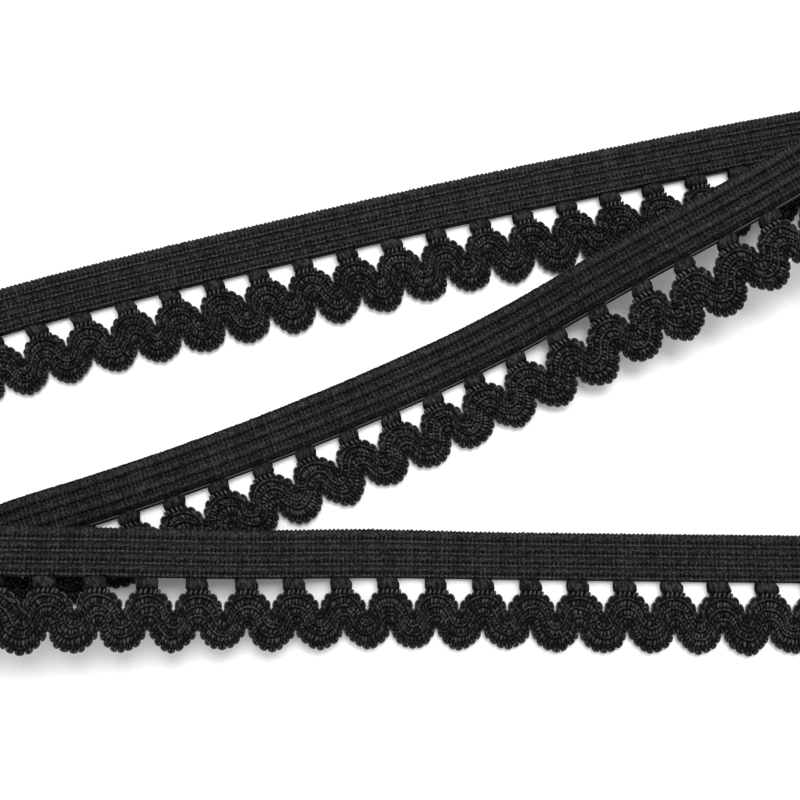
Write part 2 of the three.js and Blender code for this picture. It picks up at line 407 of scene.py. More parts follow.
def knit(name, bundles, material, pit, crest):
    """One piece of all these yarns, laid along the route. Their colour carries painted shade,
    darkest at pit height and gone at crest height.
    """
    points, corners, totals, smooth_faces, tones, painted_height_shades, start = [], [], [], [], [], [], 0
    for yarn in bundles:
        flat = yarn["rings"].reshape(-1, 3)
        # Painted shade: the lower a point lies in the cloth, the darker it is coloured, standing in
        # for the shade in the pits
        height = np.abs(flat[:, 2]) + yarn["lift"]
        painted_height_shades.append(smooth((height - pit) / (crest - pit)))
        quads, caps = tube_faces(yarn)
        points.append(lay(flat))
        corners += [quads.ravel() + start, caps.ravel() + start]
        totals += [np.full(len(quads), 4), np.full(len(caps), caps.shape[1])]
        smooth_faces += [np.ones(len(quads), bool), np.zeros(len(caps), bool)]
        tones.append(yarn["tone"])
        start += len(flat)
    faces = [np.concatenate(part) for part in (corners, totals, smooth_faces)]
    piece = mesh_piece(name, np.concatenate(points), *faces, material)
    add_map(piece, "OFBake", texture_map(bundles))
    add_map(piece, "strand", [place for yarn in bundles for place in strand_map(yarn)])
    add_attribute(piece, "tone", np.concatenate(tones))
    add_attribute(piece, "crest", np.concatenate(painted_height_shades))
    piece.data.uv_layers.active = piece.data.uv_layers["OFBake"]
    return piece


def stretches(run, ranges):
    """The parts of a run, in scallops, that lie in any of the ranges."""
    for low, high in ranges:
        low, high = max(low, run[0]), min(high, run[1])
        if low < high:
            yield low, high


# The band: the courses of its weft lie side by side, down the front and up the back, as one
# closed cloth, and lines of chain stitches run along it
COURSES = 11  # in one scallop
COURSE = PITCH / COURSES
COURSE_RIPPLE = (1.0, 0.08, 0.0)  # at steps across a course: how much of its ripple shows
COURSE_BUMPS = {"shift": 0.02, "rise": 0.012, "grain": 0.018, "least": 0.4, "most": 1.6}
COURSE_TONE = {"least": -0.1, "most": 0.3, "shade": 7.0}  # painted shade: the deeper a point's ripple, the darker it is painted
# How far below the band's top edge, height, and the depth of the ripple
BAND_TOP = (
    (0.0, 0.0, 0.3),
    (0.07, 0.44, 0.26),
    (0.24, 0.6, 0.1),
    (0.5, 0.67, 0.06),
)
BAND_FOOT = (
    (5.8, 0.4, 0.03),
    (5.93, 0.0, 0.03),
)
FRONT_GROOVES = (0.45, 1.86, 3.21, 4.56)
# How far below the groove above, height, ripple
FRONT_RIB = (
    (0.0, 0.4, 0.02),
    (0.1, 0.57, 0.03),
    (0.35, 0.68, 0.06),
    (0.6, 0.66, 0.04),
    (0.79, 0.62, 0.5),
    (1.0, 0.56, 0.04),
)
BACK_LINES = (0.0, 1.65, 2.98, 4.46, 5.62)
# How far from a line, either way, height, ripple
BACK_RIB = (
    (0.0, 0.5, 0.03),
    (0.11, 0.57, 0.04),
    (0.28, 0.61, 0.55),
    (0.46, 0.64, 0.04),
)
BACK_CREST = {"height": 0.66, "ripple": 0.05}  # halfway between two lines
FRONT_WALES = (1.58, 2.93, 4.3, 5.7)
BACK_WALES = (1.65, 2.98, 4.46)
# Share of the stitch, how far below the wale's middle, height, half width
FRONT_STITCH = (
    (0.0, -0.05, 0.46, 0.07),
    (0.35, -0.01, 0.68, 0.13),
    (0.7, 0.04, 0.66, 0.12),
)
BACK_STITCH = (
    (0.0, 0.0, 0.48, 0.07),
    (0.4, 0.0, 0.62, 0.09),
    (0.75, 0.0, 0.6, 0.08),
)
STITCH_SPREAD = {"aside": 0.015, "height": (0.93, 1.05), "width": (0.8, 1.15)}
WALE_TONE = {1: (0.3, 1.8), -1: (0.0, 1.2)}  # on the front and on the back
STITCH_PAINTED_SHADE = (1.2, 0.0, 0.0)  # painted shade: each stitch is darker where it comes out of the one before and lies lowest
# How far down, height, radius, tone, lift. The second cord is the band's lower edge, coloured near
# black: partly its own dark yarn, partly painted shade under the first cord
EDGE_CORDS = (
    (0.0, -0.34, 0.11, 1.3, 0.3),
    (0.15, -0.15, 0.12, -0.3, -0.3),
)
# Scallop, and how far below the top edge the cords run: they stand out where the back shows
CORD_BELOW = np.array([
    (22.5, 5.76),
    (26, 6.0),
    (45, 6.0),
    (48, 5.76),
])


def rib_rows(line, way, face, rib):
    """Rows of the band's cross section at the distances of a rib's table from a line."""
    return [(line + way * past, face * height, ripple) for past, height, ripple in rib]


def front_rows():
    rows = list(BAND_TOP)
    for groove in FRONT_GROOVES:
        first = 2 if groove == FRONT_GROOVES[0] else 0  # the band's top takes their place
        rows += rib_rows(groove, 1, 1, FRONT_RIB[first:])
    return rows + list(BAND_FOOT)


def back_rows():
    """The rows of the back, from its foot up. Those above a line stand in the order of their
    distance from it, so the cloth doubles back there and its pits stand out."""
    rows = []
    for line, following in zip(BACK_LINES, BACK_LINES[1:]):
        first = 1 if line == 0 else 0
        rows += rib_rows(line, 1, -1, BACK_RIB[first:])
        rows += [((line + following) / 2, -BACK_CREST["height"], BACK_CREST["ripple"])]
        rows += rib_rows(following, -1, -1, BACK_RIB[1:])
    rows += rib_rows(BACK_LINES[-1], 1, -1, BACK_RIB[:1])
    return rows[::-1]


def face_groups(run):
    """The scallops of a run by which of their faces show: (front, back, scallops)."""
    groups = {}
    for scallop in range(*run):
        key = shows(FRONT_SHOWS, scallop), shows(BACK_SHOWS, scallop)
        groups.setdefault(key, []).append(scallop)
    return [(front, back, np.array(scallops)) for (front, back), scallops in groups.items()]


def band_cloth():
    """The rings of the whole band and the tones of their points, from end to end. The tones carry
    painted shade, darker where the ripple is deeper.
    """
    rows = np.array(front_rows() + back_rows())[::-1]
    steps = len(COURSE_RIPPLE)
    ring = np.arange(SCALLOPS * COURSES * steps + 1)
    course = ring // steps
    shape = SCALLOPS * COURSES + 1, len(rows)
    ripple = rows[:, 2] * RANDOM.uniform(COURSE_BUMPS["least"], COURSE_BUMPS["most"], shape)
    ripple = ripple[course] * np.array(COURSE_RIPPLE)[ring % steps][:, None]
    ripple += RANDOM.normal(0, COURSE_BUMPS["rise"], shape[0])[course][:, None]
    ripple += RANDOM.normal(0, COURSE_BUMPS["grain"], ripple.shape)
    shift = RANDOM.normal(0, COURSE_BUMPS["shift"], shape[0])
    shift[[0, -1]] = 0
    way = unit(np.roll(rows[:, :2], 1, axis=0) - np.roll(rows[:, :2], -1, axis=0))
    inward = np.stack([way[:, 1], -way[:, 0]], axis=-1)
    rings = np.empty(ripple.shape + (3,))
    rings[..., 0] = (ring / steps * COURSE + shift[course])[:, None]
    rings[..., 1:] = rows[:, :2] + inward * ripple[..., None]
    rings[-1, :, 0] = SCALLOPS * PITCH
    tones = RANDOM.uniform(COURSE_TONE["least"], COURSE_TONE["most"], ripple.shape)
    # Painted shade in the pits: the deeper inward a point is rippled, the darker its tone
    tones -= COURSE_TONE["shade"] * ripple
    return rings, tones


BAND_RINGS, BAND_RING_TONES = band_cloth()


def band_weft(run):
    """The cloth of one run: the runs share the ring at which they meet."""
    steps = len(COURSE_RIPPLE) * COURSES
    part = slice(run[0] * steps, run[1] * steps + 1)
    course = np.arange(part.start, part.stop) / len(COURSE_RIPPLE)
    return bundle(
        BAND_RINGS[None, part],
        closed=False,
        cell=steps,
        tone=BAND_RING_TONES[part].ravel(),
        along=course,
        crosswise=True,
    )


def band_wale(low, high, below, stitch, face):
    """A line of chain stitches along the band, on one face."""
    count = round((high - low) * COURSES)
    stitch = np.array(stitch)
    place = low * COURSES + np.arange(count)[:, None] + stitch[:, 0]
    aside = RANDOM.normal(0, STITCH_SPREAD["aside"], (count, 1))
    tall = RANDOM.uniform(*STITCH_SPREAD["height"], (count, 1))
    path = np.empty((1, place.size, 3))
    path[0, :, 0] = place.ravel() * COURSE
    path[0, :, 1] = (below + stitch[:, 1] + aside).ravel()
    path[0, :, 2] = (face * stitch[:, 2] * tall).ravel()
    wide = (stitch[:, 3] * RANDOM.uniform(*STITCH_SPREAD["width"], (count, 1))).reshape(1, -1)
    line = yarns(path, (0, 1, 0), wide, wide, cell=COURSES * len(stitch))
    tones = RANDOM.uniform(*WALE_TONE[face], (count, 1)) - STITCH_PAINTED_SHADE
    line["tone"] = np.repeat(tones, line["rings"].shape[2])
    return line


def band_wales(run):
    for low, high in stretches(run, FRONT_SHOWS):
        for below in FRONT_WALES:
            yield band_wale(low, high, below, FRONT_STITCH, 1)
    for low, high in stretches(run, BACK_SHOWS):
        for below in BACK_WALES:
            yield band_wale(low, high, below, BACK_STITCH, -1)


def edge_cords(run):
    """The bare cords along the lower edge of the band's back; the lower one is coloured near black,
    partly as painted shade under the other.
    """
    place = np.arange(run[0] * COURSES, run[1] * COURSES + 1)
    for down, height, radius, tone, lift in EDGE_CORDS:
        path = np.empty((1, len(place), 3))
        path[0, :, 0] = place * COURSE
        path[0, :, 1] = np.interp(place / COURSES, *CORD_BELOW.T) + down
        path[0, :, 2] = height
        cord = yarns(path, (0, 1, 0), radius, radius, sides=6, cell=COURSES, lift=lift)
        cord["tone"] = np.full(len(cord["tone"]), tone)
        yield cord


# The knots: each is a tight bundle of yarns from the band down into the shell under it
KNOT_YARNS = 11
# How far below, middle of its left yarn, middle of its right yarn, height
KNOT_ROWS = (
    (5.62, -0.83, 0.72, 0.3),
    (5.95, -1.12, 0.8, 0.44),
    (6.25, -1.18, 1.04, 0.56),
    (6.65, -1.16, 1.26, 0.59),
    (7.1, -1.08, 1.26, 0.54),
    (7.42, -0.93, 1.14, 0.34),
)
KNOT_WAIST = 6.65  # how far below its yarns are where their lean leaves them in place
KNOT_TWIST = 0.12  # how far they lean
KNOT_ROUND = {"middle": 1.06, "fall": 0.7}  # how its height falls off to the sides
KNOT_CUT = {"start": 0.5, "end": 0.4}  # shares of the two end knots that the cuts leave
KNOT_SPREAD = {"middle": 0.04, "size": (0.97, 1.03), "yarn": 0.035}
# The lift lowers the height that sets the knots' painted shade, so they are painted darker
KNOT_YARN = {"wide": 0.17, "thick": 0.08, "lift": -0.14}
KNOT_TONE = (-0.5, 1.0)


def knots_of(run):
    return range(run[0], run[1] + (run[1] == SCALLOPS))


def knots(run):
    below, left, right, height = round_both_faces(KNOT_ROWS)
    for knot in knots_of(run):
        share = np.linspace(0, 1, KNOT_YARNS)[:, None]
        if knot == 0:
            share = share[share[:, 0] > KNOT_CUT["start"]]
        if knot == SCALLOPS:
            share = share[share[:, 0] < KNOT_CUT["end"]]
        middle = knot * PITCH + RANDOM.normal(0, KNOT_SPREAD["middle"])
        size = RANDOM.uniform(*KNOT_SPREAD["size"])
        path = np.empty((len(share), len(below), 3))
        path[..., 0] = middle + (left + (right - left) * share) * size
        path[..., 0] += KNOT_TWIST * np.sign(height) * (below - KNOT_WAIST)
        path[..., 1] = below
        path[..., 2] = height * (KNOT_ROUND["middle"] - KNOT_ROUND["fall"] * (share - 0.5) ** 2)
        path += RANDOM.normal(0, KNOT_SPREAD["yarn"], path.shape)
        knot_yarns = yarns(path, (1, 0, 0), closed=True, **KNOT_YARN)
        tones = RANDOM.uniform(*KNOT_TONE, path.shape[:2])
        knot_yarns["tone"] = np.repeat(tones.ravel(), knot_yarns["rings"].shape[2])
        yield knot_yarns


# The edging: strands of yarn fan out round the shells, up under each knot and down between
# two, in rows that chain stitches part
UP_RIM = {"centre": 9.95, "drop": 2.7, "reach": 0.48, "roundness": 1.05, "notch": 0.03}
DOWN_RIM = {"centre": 12.3, "drop": 2.6, "reach": 0.468, "roundness": 1.12, "notch": 0.035}
CROWDING = 0.85  # how much the strands crowd at a shell's sides, from 0 to 1
# Share of the edging's width, height on the front and on the back as a share of full height
EDGING_WALES = (
    (0.185, 0.92, 1.0),
    (0.42, 1.05, 1.1),
    (0.645, 0.98, 1.15),
    (0.885, 0.56, 0.58),
)
WALE_HALF = 0.055  # half the width of a wale, as a share of the edging's
# Phase and share of a place, its spread in both, and how much higher the yarns stand there
# Where the yarns sink, their painted shade also deepens
RELIEF = (
    (0.0, 0.9, 0.12, 0.1, -0.45),
    (0.5, 0.06, 0.07, 0.1, -0.4),
    (0.77, 0.5, 0.08, 0.4, -0.22),
    (0.08, 0.42, 0.14, 0.16, 0.08),
    (0.5, 0.3, 0.12, 0.08, 0.08),
)

# The strands of a row: share of the row, height, part of the strand's width
STRAND_FULL = (
    (-0.06, 0.26, 1.2),
    (0.32, 0.52, 1.25),
    (0.7, 0.57, 0.75),
    (1.04, 0.28, 0.95),
)
STRAND_PLAIN = (
    (0.2, 0.42, 1.0),
    (0.8, 0.42, 1.0),
)  # on a face that doesn't show
STRAND_SPACING = 0.44
STRAND_THICK = 0.13
STRAND_TONE = (-0.2, 1.1)
STRAND_COVER = 0.38  # half width, as a share of the spacing
STRAND_WIDEST, STRAND_NARROWEST = 0.2, 0.05
STRAND_LEAN = 0.45  # how far a strand leans along the row, in spacings
STRAND_SPREAD = {"lean": (-0.3, 1.6), "phase": 0.1, "place": 0.025, "height": (0.85, 1.12)}
TIGHT_FROM, TIGHT_TO = 0.12, 0.34  # spacings between which the strands sink in the tight places
TIGHT_SINK = 0.45
RIM_STRANDS = (0.32, 0.68)  # shares from one picot to the next where strands run to the rim
RIM_START = 0.08  # where those strands start, past the upper rim
UNDER_KNOT = 0.13  # phases this near an up-shell's middle lie under its knot

CROWN_STRANDS = (-0.62, -0.06, 0.52, 1.08, 1.5)  # along from the knot's middle
# How far below, height
CROWN_ROWS = (
    (7.36, 0.36),
    (7.45, 0.55),
    (7.7, 0.58),
    (7.88, 0.42),
)
CROWN_LEAN, CROWN_CURVE = 0.3, 0.09
CROWN_INSET = 0.1  # no crown strand is nearer to a cut end
CROWN_YARN = {"wide": 0.14, "thick": 0.12, "tone": (0.6, 1.6)}
CROWN_SPREAD = {"along": 0.03, "place": 0.015, "height": (0.92, 1.06)}

EDGING_STITCH_LENGTH = 0.56
# Share of the stitch, how far below the wale's middle, height, half width
EDGING_STITCH = (
    (0.0, -0.04, 0.44, 0.12),
    (0.35, -0.08, 0.55, 0.18),
    (0.7, -0.04, 0.55, 0.16),
)
EDGING_STITCH_SPREAD = {"place": 0.02, "height": (0.8, 1.06)}
EDGING_WALE_TONE = (-0.3, 0.7)

RIM_BUMPS = (8, 8)  # picots on the rim of an up-shell and of a down-shell
# Share from one picot's tip to the next, how far out of the rim, tone: painted highlight near the
# tips and painted shade in the dip between them
RIM_BUMP = (
    (0.1, 0.05, 2.2),
    (0.33, -0.04, 1.0),
    (0.5, -0.36, -0.5),
    (0.67, -0.04, 1.0),
    (0.9, 0.05, 2.2),
)
RIM_CALM = {"within": 0.11, "less": 0.9}  # near a notch, in scallops, the picots are shallower
# The lift raises the height that sets the rim cord's painted shade, so the rim is painted lighter
RIM_CORD = {"wide": 0.125, "thick": 0.25, "lift": 0.4}
PICOT_STRANDS = (0.2, 0.8)  # shares from one picot's tip to the next where strands run into it
# Share of the edging's width, height
PICOT_ROWS = (
    (0.905, 0.3),
    (0.95, 0.5),
    (0.99, 0.36),
)
PICOT_YARN = {"wide": 0.13, "thick": 0.12, "tone": (0.2, 1.4)}
PICOT_SPREAD = {"place": 0.02, "height": (0.85, 1.1)}
CURVE_POINTS = 721  # on the curve of one scallop, where its length is measured


def fan_turn(phase):
    """How far round a shell's fan the yarn has turned, in radians either way."""
    return math.pi * (phase + CROWDING * np.sin(2 * np.pi * phase) / (2 * np.pi))


def signed_power(value, power):
    return np.sign(value) * np.abs(value) ** power


def rim_point(phase, rim):
    """How far along and out a shell's rim is, in scallops and as a share of its drop. The rim
    turns round at the notch between two shells."""
    flank = 0.5 - rim["notch"]
    turn = fan_turn(np.clip(phase / (2 * flank), -0.5, 0.5))
    along = rim["reach"] * signed_power(np.sin(turn), rim["roundness"])
    past = np.clip((np.abs(phase) - flank) / rim["notch"], 0, 1)
    along += np.sign(phase) * (0.5 - rim["reach"]) * past
    return along, signed_power(np.cos(turn), rim["roundness"])


def edging_point(phase, share):
    """(along, below) on the edging: phase 0 is an up-shell's middle, and share 0 its rim."""
    up_shell = np.round(phase)
    down_shell = np.round(phase - 0.5) + 0.5
    upper, rise = rim_point(phase - up_shell, UP_RIM)
    lower, fall = rim_point(phase - down_shell, DOWN_RIM)
    upper = up_shell + upper
    lower = down_shell + lower
    upper_below = UP_RIM["centre"] - UP_RIM["drop"] * rise
    lower_below = DOWN_RIM["centre"] + DOWN_RIM["drop"] * fall
    along = (upper + (lower - upper) * share) * PITCH + SHELL_SHIFT
    below = upper_below + (lower_below - upper_below) * share
    return np.stack(np.broadcast_arrays(along, below), axis=-1)


def down_the_edging(phase, share):
    step = 0.01
    return edging_point(phase, share + step) - edging_point(phase, share - step)


def turned(direction):
    """In the cloth's plane, square to a direction, as a side for a tube."""
    side = np.zeros(direction.shape[:-1] + (3,))
    side[..., 0] = -direction[..., 1]
    side[..., 1] = direction[..., 0]
    return unit(side)


def spacing(phase, share, step):
    """How far apart two strands lie here whose phases differ by the step."""
    apart = edging_point(phase + step / 2, share) - edging_point(phase - step / 2, share)
    way = unit(down_the_edging(phase, share))
    return np.abs(apart[..., 0] * way[..., 1] - apart[..., 1] * way[..., 0])


def tightness(gap):
    return 1 - smooth((gap - TIGHT_FROM) / (TIGHT_TO - TIGHT_FROM))


def travel(share, start):
    """Phases along one scallop of the curve of a share of the edging, and how far each is."""
    fine = np.linspace(start, start + 1, CURVE_POINTS)
    steps = np.linalg.norm(np.diff(edging_point(fine, share), axis=0), axis=1)
    return fine, np.concatenate([[0], np.cumsum(steps)])


def curve_length(share):
    return travel(share, 0)[1][-1]


def along_curve(share, per_scallop, low, high, start, stitch_shares):
    """Phases of evenly spaced stitches along the curve of one share of the edging."""
    fine, travelled = travel(share, start)
    travelled *= per_scallop / travelled[-1]
    number = np.arange((high - low) * per_scallop)[:, None] + stitch_shares
    whole = number // per_scallop
    return low + whole + np.interp(number - whole * per_scallop, travelled, fine)


def rim_places(low, high, rim, shares):
    """Places along the picots of a rim: their phases, and which of the shares each has."""
    notch = 0.5 * (1 - rim)
    first = low - 1 if low < notch else low
    phase = along_curve(rim, RIM_BUMPS[rim], first, high, notch, np.array(shares))
    which = np.broadcast_to(np.arange(len(shares)), phase.shape)
    kept = (phase > 0) & (phase < SCALLOPS)
    return phase[kept], which[kept]


def relief(phase, share):
    """How high the yarns stand here, as a share of their full height."""
    total = 1.0
    for at_phase, at_share, phase_spread, share_spread, rise in RELIEF:
        away = (phase - at_phase) - np.round(phase - at_phase)
        far = (away / phase_spread) ** 2 + ((share - at_share) / share_spread) ** 2
        total = total + rise * np.exp(-far / 2)
    return total


def strand_phases(first, last, upper, lower):
    """Where the strands of one row stand: evenly, or beside the holes of the picots."""
    if upper == RIM_START:
        phase = rim_places(first, last, 0, RIM_STRANDS)[0]
        return phase[np.abs(phase - np.round(phase)) > UNDER_KNOT][:, None]
    middle = (upper + lower) / 2
    per_scallop = round(curve_length(middle) / STRAND_SPACING)
    return along_curve(middle, per_scallop, first, last, 0, np.array([0.5]))


def strand_row(first, last, upper, lower, front, back):
    """The strands between two shares of the edging, from scallop first to last."""
    phase = strand_phases(first, last, upper, lower)
    if upper == RIM_START:
        step = (phase[-1] - phase[0]) / (len(phase) - 1)
    else:
        step = np.gradient(phase, axis=0)
    down = STRAND_FULL if front else STRAND_PLAIN
    up = STRAND_FULL if back else STRAND_PLAIN
    rows = [*down, *[(share, -height, part) for share, height, part in reversed(up)]]
    share, height, part = np.array(rows).T
    lean = STRAND_LEAN * RANDOM.uniform(*STRAND_SPREAD["lean"], phase.shape)
    phase = phase + RANDOM.normal(0, STRAND_SPREAD["phase"], phase.shape) * step
    phase = phase + (0.5 - share) * lean * step
    share = upper + (lower - upper) * share
    gap = spacing(phase, share, step)
    tight = tightness(gap)
    path = np.empty(phase.shape + (3,))
    path[..., :2] = uneven(edging_point(phase, share))
    path += RANDOM.normal(0, STRAND_SPREAD["place"], path.shape)
    tall = RANDOM.uniform(*STRAND_SPREAD["height"], (len(phase), 1))
    path[..., 2] = height * tall * relief(phase, share) * (1 - TIGHT_SINK * tight)
    wide = part * np.clip(gap * STRAND_COVER, STRAND_NARROWEST, STRAND_WIDEST)
    side = turned(down_the_edging(phase, share))
    return yarns(path, side, wide, STRAND_THICK, closed=True, tone=STRAND_TONE)


def crown_strands(run):
    """The short strands in which the yarns of each knot go down into the shell's rim."""
    below, height = round_both_faces(CROWN_ROWS)
    for knot in knots_of(run):
        place = knot * PITCH + np.array(CROWN_STRANDS)[:, None]
        inset = np.minimum(place, SCALLOPS * PITCH - place)[:, 0]
        place = place[inset > CROWN_INSET]
        place = place + RANDOM.normal(0, CROWN_SPREAD["along"], place.shape)
        path = np.empty((len(place), len(below), 3))
        path[..., 0] = place - CROWN_LEAN * (below - below.mean())
        path[..., 1] = below + CROWN_CURVE * (place - knot * PITCH - SHELL_SHIFT) ** 2
        path[..., 2] = height * RANDOM.uniform(*CROWN_SPREAD["height"], place.shape)
        path += RANDOM.normal(0, CROWN_SPREAD["place"], path.shape)
        yield yarns(path, (1, 0, 0), closed=True, **CROWN_YARN)


def neighbours(scallops):
    """Splits a list of scallops into stretches without a gap: (first, last + 1)."""
    breaks = np.flatnonzero(np.diff(scallops) > 1) + 1
    for stretch in np.split(scallops, breaks):
        yield int(stretch[0]), int(stretch[-1]) + 1


def edging_strands(run):
    """The rows of strands between the upper rim and the wales, each fuller where it shows."""
    starts = (RIM_START, *[share + WALE_HALF for share, _, _ in EDGING_WALES[:-1]])
    ends = [share - WALE_HALF for share, _, _ in EDGING_WALES]
    for front, back, scallops in face_groups(run):
        for first, last in neighbours(scallops):
            for upper, lower in zip(starts, ends):
                yield strand_row(first, last, upper, lower, front, back)


def edging_wale(low, high, share, lift):
    """A line of chain stitches along the edging, on one face."""
    stitch = np.array(EDGING_STITCH)
    per_scallop = round(curve_length(share) / EDGING_STITCH_LENGTH)
    phase = along_curve(share, per_scallop, low, high, 0, stitch[:, 0])
    count = len(phase)
    place = edging_point(phase, share) + unit(down_the_edging(phase, share)) * stitch[:, 1, None]
    place += RANDOM.normal(0, EDGING_STITCH_SPREAD["place"], place.shape)
    place = uneven(place).reshape(1, -1, 2)
    tall = RANDOM.uniform(*EDGING_STITCH_SPREAD["height"], (count, 1))
    height = lift * stitch[:, 2] * tall * relief(phase, share)
    height *= 1 - TIGHT_SINK * tightness(spacing(phase, share, 1 / per_scallop))
    path = np.concatenate([place, height.reshape(1, -1, 1)], axis=-1)
    wide = np.broadcast_to(stitch[:, 3], (count, len(stitch))).reshape(1, -1)
    side = turned(np.gradient(place, axis=1))
    line = yarns(path, side, wide, wide, cell=per_scallop * len(stitch))
    stitch_tones = RANDOM.uniform(*EDGING_WALE_TONE, count)
    line["tone"] = np.repeat(stitch_tones, len(stitch) * line["rings"].shape[2])
    return line


def edging_wales(run):
    for share, on_front, on_back in EDGING_WALES:
        for low, high in stretches(run, FRONT_SHOWS):
            yield edging_wale(math.ceil(low), math.ceil(high), share, on_front)
        for low, high in stretches(run, BACK_SHOWS):
            yield edging_wale(math.ceil(low), math.ceil(high), share, -on_back)


def picot_line(low, high, rim):
    """The phases of points along the picots of one rim, where they are, and their tones."""
    shares, outward, tones = np.array(RIM_BUMP).T
    phase, which = rim_places(low, high, rim, shares)
    notch = 0.5 * (1 - rim)
    away = (phase + notch) - np.round(phase + notch)
    calm = 1 - RIM_CALM["less"] * np.exp(-(away / RIM_CALM["within"]) ** 2)
    downward = (2 * rim - 1) * outward[which] * calm
    out = unit(down_the_edging(phase, rim)) * downward[:, None]
    return phase, edging_point(phase, rim) + out, tones[which]


def rim_cord(run, rim):
    """The row of picots along one rim: loops of yarn that bulge out of it, with painted highlight at
    their tips and painted shade between them.
    """
    _, place, tones = picot_line(*run, rim)
    place = uneven(place)[None]
    path = np.concatenate([place, np.zeros(place.shape[:2] + (1,))], axis=-1)
    side = turned(np.gradient(place, axis=1))
    cord = yarns(path, side, cell=RIM_BUMPS[rim] * len(RIM_BUMP), **RIM_CORD)
    cord["tone"] = np.repeat(tones, cord["rings"].shape[2])
    return cord


def picot_strands(run):
    """The short strands that run into the picots of the lower rim."""
    phase = rim_places(*run, 1, PICOT_STRANDS)[0][:, None]
    share, height = round_both_faces(PICOT_ROWS)
    path = np.empty((len(phase), len(share), 3))
    path[..., :2] = uneven(edging_point(phase, share))
    path[..., 2] = height * RANDOM.uniform(*PICOT_SPREAD["height"], phase.shape)
    path += RANDOM.normal(0, PICOT_SPREAD["place"], path.shape)
    return yarns(path, turned(down_the_edging(phase, share)), closed=True, **PICOT_YARN)


# The core: a thin sheet inside the yarns, which closes the cloth between them. It is coloured darker
# than the yarns, as painted shade where it shows in the gaps between them
# How far below, half its thickness
CORE_BAND = ((0.15, 0.16), (1.5, 0.2), (3.0, 0.2), (4.5, 0.2), (5.85, 0.16))
# How far below, half its width, half its thickness
CORE_KNOT = ((5.7, 1.0, 0.2), (6.3, 1.15, 0.42), (6.9, 1.2, 0.45), (7.6, 1.1, 0.25))
# Share of the edging's width, half its thickness
CORE_EDGING = ((0.1, 0.17), (0.34, 0.2), (0.55, 0.2), (0.77, 0.18), (0.9, 0.15))
# Rim, the share from which it reaches out to the picots, half its thickness
CORE_PICOT = ((0, 0.15, 0.14), (1, 0.87, 0.12))
CORE_STEPS = {"band": 3, "edging": 16}  # in one scallop


def slab(middle, half):
    """A closed slab: points of its middle layer in rows and columns, and its half thickness."""
    rows, columns = middle.shape[:2]
    faces = []
    for way in (1, -1):
        height = np.broadcast_to(half * way, (rows, columns))[..., None]
        faces.append(np.concatenate([middle, height], axis=-1))
    number = np.arange(2 * rows * columns).reshape(2, rows, columns)
    front, back = number
    quads = [
        [front[1:, :-1], front[1:, 1:], front[:-1, 1:], front[:-1, :-1]],
        [back[:-1, :-1], back[:-1, 1:], back[1:, 1:], back[1:, :-1]],
    ]
    rim = np.concatenate([
        np.arange(columns),
        np.arange(1, rows) * columns + columns - 1,
        (rows - 1) * columns + np.arange(columns - 2, -1, -1),
        np.arange(rows - 2, -1, -1) * columns,
    ])
    top, bottom = rim, rim + rows * columns
    quads.append([top[:-1], top[1:], bottom[1:], bottom[:-1]])
    quads = [np.stack(quad, axis=-1).reshape(-1, 4) for quad in quads]
    return np.concatenate(faces).reshape(-1, 3), np.concatenate(quads)


def core_slabs():
    """The parts of the core: band, knots, edging, and the strips along its two rims."""
    along = np.arange(SCALLOPS * CORE_STEPS["band"] + 1) / CORE_STEPS["band"] * PITCH
    below, half = np.array(CORE_BAND).T
    grid = np.stack(np.broadcast_arrays(along, below[:, None]), axis=-1)
    yield slab(grid, half[:, None])
    below, wide, half = np.array(CORE_KNOT).T
    for knot in range(SCALLOPS + 1):
        low = 0 if knot == 0 else -1
        high = 0 if knot == SCALLOPS else 1
        along = knot * PITCH + np.arange(low, high + 1) * wide[:, None]
        grid = np.stack(np.broadcast_arrays(along, below[:, None]), axis=-1)
        yield slab(grid, half[:, None])
    phase = np.arange(SCALLOPS * CORE_STEPS["edging"] + 1) / CORE_STEPS["edging"]
    share, half = np.array(CORE_EDGING).T
    yield slab(uneven(edging_point(phase, share[:, None])), half[:, None])
    for rim, inner, half in CORE_PICOT:
        phase, outer, _ = picot_line(0, SCALLOPS, rim)
        sides = [outer, edging_point(phase, inner)]
        yield slab(uneven(np.array(sides if rim == 0 else sides[::-1])), half)


def core_sheet(material):
    """The core as one piece. Its crest is 1 everywhere, so the painted pit shade doesn't darken it.
    """
    points, quads, start = [], [], 0
    for slab_points, slab_quads in core_slabs():
        points.append(slab_points)
        quads.append(slab_quads + start)
        start += len(slab_points)
    points, quads = np.concatenate(points), np.concatenate(quads)
    totals, smooth_faces = np.full(len(quads), 4), np.ones(len(quads), bool)
    piece = mesh_piece("core", lay(points), quads.ravel(), totals, smooth_faces, material)
    add_attribute(piece, "crest", np.ones(len(points)))
    return piece


# Materials: near-black textured filament yarn
# The darkest colour of the yarn, which the painted shade in the pits also reaches
DARKEST_YARN_AND_PIT_SHADE = (0.0012, 0.0012, 0.0013, 1)
DARKEST_TONE, LIGHTEST_TONE = -0.3, 1.3
SHEEN = {"Sheen Weight": 0.01, "Sheen Roughness": 0.45}
YARN_SPECULAR = 0.07
CLOUDS = {"Scale": 5500, "Detail": 1}
FILAMENTS = {"Scale": 1.0, "Detail": 2}
FILAMENT_BUMP = {"Strength": 0.7, "Distance": 0.00004}
FINENESS = (3.5, 7.0, 1.0)  # how often the filaments change along the yarn and round it
BAND_FINENESS = (5.5, 3.0, 1.0)
FLOOR = {"Base Color": (0.9, 0.9, 0.9, 1), "Roughness": 0.9, "Specular IOR Level": 0.1}


def set_inputs(node, values):
    for name, value in values.items():
        node.inputs[name].default_value = value


